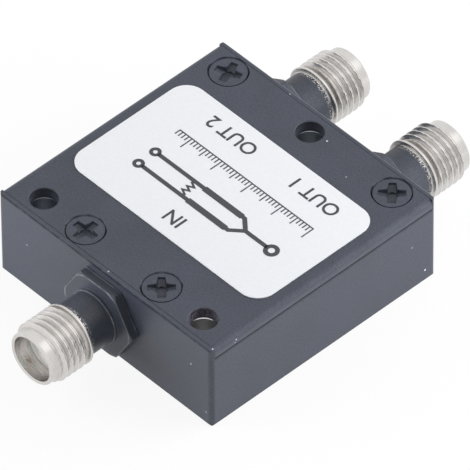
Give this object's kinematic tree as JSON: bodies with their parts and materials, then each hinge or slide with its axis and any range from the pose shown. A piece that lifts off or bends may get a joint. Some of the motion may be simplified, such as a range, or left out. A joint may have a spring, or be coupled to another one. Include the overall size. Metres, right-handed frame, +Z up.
{
  "type": "rf power splitter",
  "caption": "Low square block that splits one radio-frequency input to two outputs, with a flush screwed lid and threaded coaxial jacks on opposite faces.",
  "frame": {"origin": "middle of the block's base face, which is also the bottom centre of the whole part", "axes": "+Z up through the label; the input jack points along -Y and the two output jacks along +Y; +X to the right seen from the input side"},
  "size_m": [0.028, 0.0462, 0.0099],
  "materials": {
    "block": "satin dark blue-grey lacquer",
    "lid": "satin dark blue-grey lacquer",
    "screw": "lacquered over with the lid",
    "label": "satin white film",
    "nickel": "nickel plate, turned",
    "insulator": "white fluoropolymer",
    "gold": "gold plate",
    "laminate": "cream glass-cloth laminate",
    "copper": "bare copper",
    "chip": "fired black",
    "board_screw": "plain steel"
  },
  "bodies": {
    "root": {"housing": "block", "lid": "lid", "lid_screws": "screw", "label": "label", "input_jack": "nickel", "output_1_jack": "nickel", "output_2_jack": "nickel", "input_insulator": "insulator", "output_1_insulator": "insulator", "output_2_insulator": "insulator", "input_contact": "gold", "output_1_contact": "gold", "output_2_contact": "gold", "divider_board": "laminate", "divider_track": "copper", "isolation_resistor_1": "chip", "isolation_resistor_2": "chip", "isolation_resistor_3": "chip", "isolation_resistor_4": "chip", "board_screws": "board_screw"}
  },
  "joints": []
}
